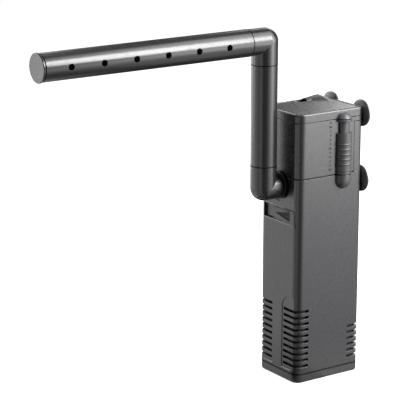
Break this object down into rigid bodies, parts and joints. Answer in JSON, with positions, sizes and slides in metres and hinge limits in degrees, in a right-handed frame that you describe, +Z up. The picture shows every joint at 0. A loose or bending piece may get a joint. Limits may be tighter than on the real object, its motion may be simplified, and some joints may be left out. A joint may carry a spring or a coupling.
{
  "type": "canister filter",
  "caption": "Submersible canister filter: slotted rectangular canister with sponge, lift-off pump head, side latches, suction cups, and a swivelling riser with spray bar.",
  "frame": {"origin": "middle of the flat foot of the canister", "axes": "+Z up, -Y out of the front along the outlet and the spray bar, +Y out of the back towards the glass, +X to the right seen from the front"},
  "size_m": [0.0766, 0.3376, 0.3447],
  "materials": {
    "body_plastic": "satin moulded dark grey plastic",
    "pipe_plastic": "glossy dark grey plastic",
    "inner_plastic": "black moulded plastic",
    "seal_rubber": "black sealing rubber",
    "cup_rubber": "glossy black rubber",
    "sponge_foam": "black open-cell foam",
    "shaft_ceramic": "ground white ceramic",
    "magnet_ferrite": "dark sintered ferrite",
    "core_steel": "stacked electrical steel sheet",
    "winding_copper": "enamelled copper wire",
    "motor_resin": "cast black resin"
  },
  "bodies": {
    "canister": {"canister_shell": "body_plastic", "base_cap": "body_plastic", "intake_tube": "inner_plastic", "filter_sponge": "sponge_foam", "suction_cup_lower_left": "cup_rubber", "suction_cup_lower_right": "cup_rubber"},
    "pump_head": {"head_housing": "body_plastic", "top_cover": "body_plastic", "cable_gland": "seal_rubber", "head_seal": "seal_rubber", "suction_cup_upper_left": "cup_rubber", "suction_cup_upper_right": "cup_rubber", "pump_chamber": "inner_plastic", "impeller_cover": "inner_plastic", "outlet_ring": "seal_rubber", "shaft_bush_lower": "seal_rubber", "shaft_bush_upper": "seal_rubber", "rotor_shaft": "shaft_ceramic", "stator_core": "core_steel", "coil_bobbin": "inner_plastic", "coil_winding": "winding_copper", "motor_resin": "motor_resin"},
    "rotor": {"magnet_rotor": "magnet_ferrite", "impeller": "inner_plastic"},
    "latch_left": {"latch_clip_left": "body_plastic"},
    "latch_right": {"latch_clip_right": "body_plastic"},
    "flow_plate": {"flow_slider": "body_plastic"},
    "outlet_elbow": {"lower_elbow": "pipe_plastic"},
    "riser": {"riser_tube": "pipe_plastic"},
    "top_elbow": {"upper_elbow": "pipe_plastic"},
    "bar": {"spray_bar": "pipe_plastic"},
    "end_cap": {"bar_end_cap": "pipe_plastic"}
  },
  "joints": [
    {"name": "head_lift", "type": "slide", "parent": "canister", "child": "pump_head", "axis": [0, 0, 1], "range_m": [0, 0.06]},
    {"name": "rotor_spin", "type": "hinge", "parent": "pump_head", "child": "rotor", "pos_m": [0, -0.008, 0.21], "axis": [0, 0, 1], "continuous": true},
    {"name": "latch_left_slide", "type": "slide", "parent": "pump_head", "child": "latch_left", "axis": [0, 0, 1], "range_m": [0, 0.009]},
    {"name": "latch_right_slide", "type": "slide", "parent": "pump_head", "child": "latch_right", "axis": [0, 0, 1], "range_m": [0, 0.009]},
    {"name": "flow_slide", "type": "slide", "parent": "canister", "child": "flow_plate", "axis": [-1, 0, 0], "range_m": [0, 0.0135]},
    {"name": "outlet_swivel", "type": "hinge", "parent": "pump_head", "child": "outlet_elbow", "pos_m": [0, -0.045, 0.192], "axis": [0, -1, 0], "range_deg": [-90, 90]},
    {"name": "riser_swivel", "type": "hinge", "parent": "outlet_elbow", "child": "riser", "pos_m": [0, -0.0563, 0.205], "axis": [0, 0, 1], "continuous": true},
    {"name": "top_swivel", "type": "hinge", "parent": "riser", "child": "top_elbow", "pos_m": [0, -0.0563, 0.315], "axis": [0, 0, 1], "continuous": true},
    {"name": "bar_roll", "type": "hinge", "parent": "top_elbow", "child": "bar", "pos_m": [0, -0.1, 0.3313], "axis": [0, -1, 0], "continuous": true},
    {"name": "end_cap_pull", "type": "slide", "parent": "bar", "child": "end_cap", "axis": [0, -1, 0], "range_m": [0, 0.015]}
  ]
}
